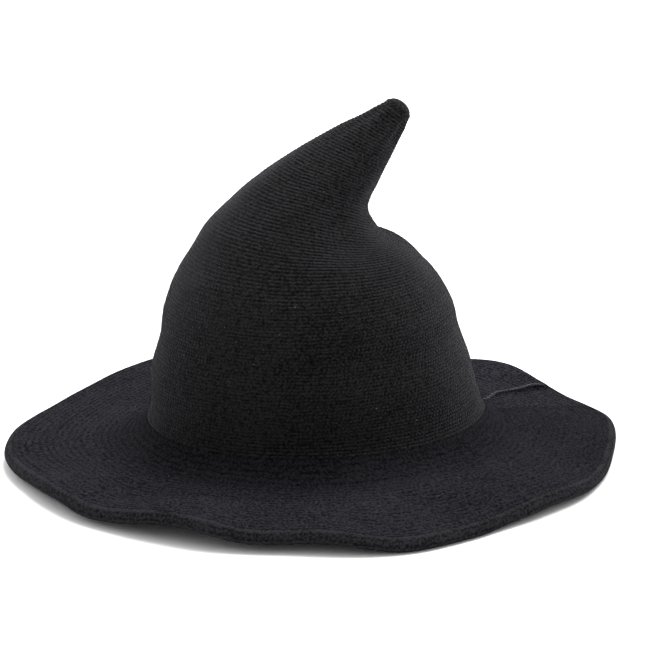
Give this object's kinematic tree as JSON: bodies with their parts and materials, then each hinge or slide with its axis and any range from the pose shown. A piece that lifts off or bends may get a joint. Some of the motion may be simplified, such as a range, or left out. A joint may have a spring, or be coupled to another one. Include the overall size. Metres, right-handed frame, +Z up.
{
  "type": "witch hat",
  "caption": "Black knitted witch hat with a round crown, a peak bent towards the back and a wide wired brim that waves at its edge.",
  "frame": {"origin": "centre of the overall box on the surface that the brim stands on", "axes": "+Z up; +X towards the back of the hat, where the seam runs and the peak leans; +Y to the side, so that X, Y, Z are right-handed"},
  "size_m": [0.4006, 0.3846, 0.2306],
  "materials": {
    "knit": "matte",
    "knit_peak": "matte",
    "knit_hem": "matte",
    "knit_seam": "matte",
    "band_weave": "satin",
    "thread": "satin",
    "label_satin": "satin",
    "wire_steel": "satin"
  },
  "bodies": {
    "hat": {"crown_dome": "knit", "brim": "knit", "brim_hem": "knit_hem", "brim_wire": "wire_steel", "wire_joiner": "wire_steel", "brim_seam": "knit_seam", "crown_seam": "knit_seam", "sweatband": "band_weave", "band_join": "thread", "band_stitches": "thread", "hem_stitches": "thread", "label_stitches": "thread"},
    "peak": {"crown_tip": "knit_peak", "closing_yarn": "thread", "tip_seam": "knit_seam"},
    "label": {"care_label": "label_satin"}
  },
  "joints": [
    {"name": "peak_bend", "type": "hinge", "parent": "hat", "child": "peak", "pos_m": [-0.002, 0, 0.176], "axis": [0, 1, 0], "range_deg": [-40, 18]},
    {"name": "label_swing", "type": "hinge", "parent": "hat", "child": "label", "pos_m": [0.004, 0.08165, 0.034], "axis": [-1, 0, 0], "range_deg": [0, 100]}
  ]
}
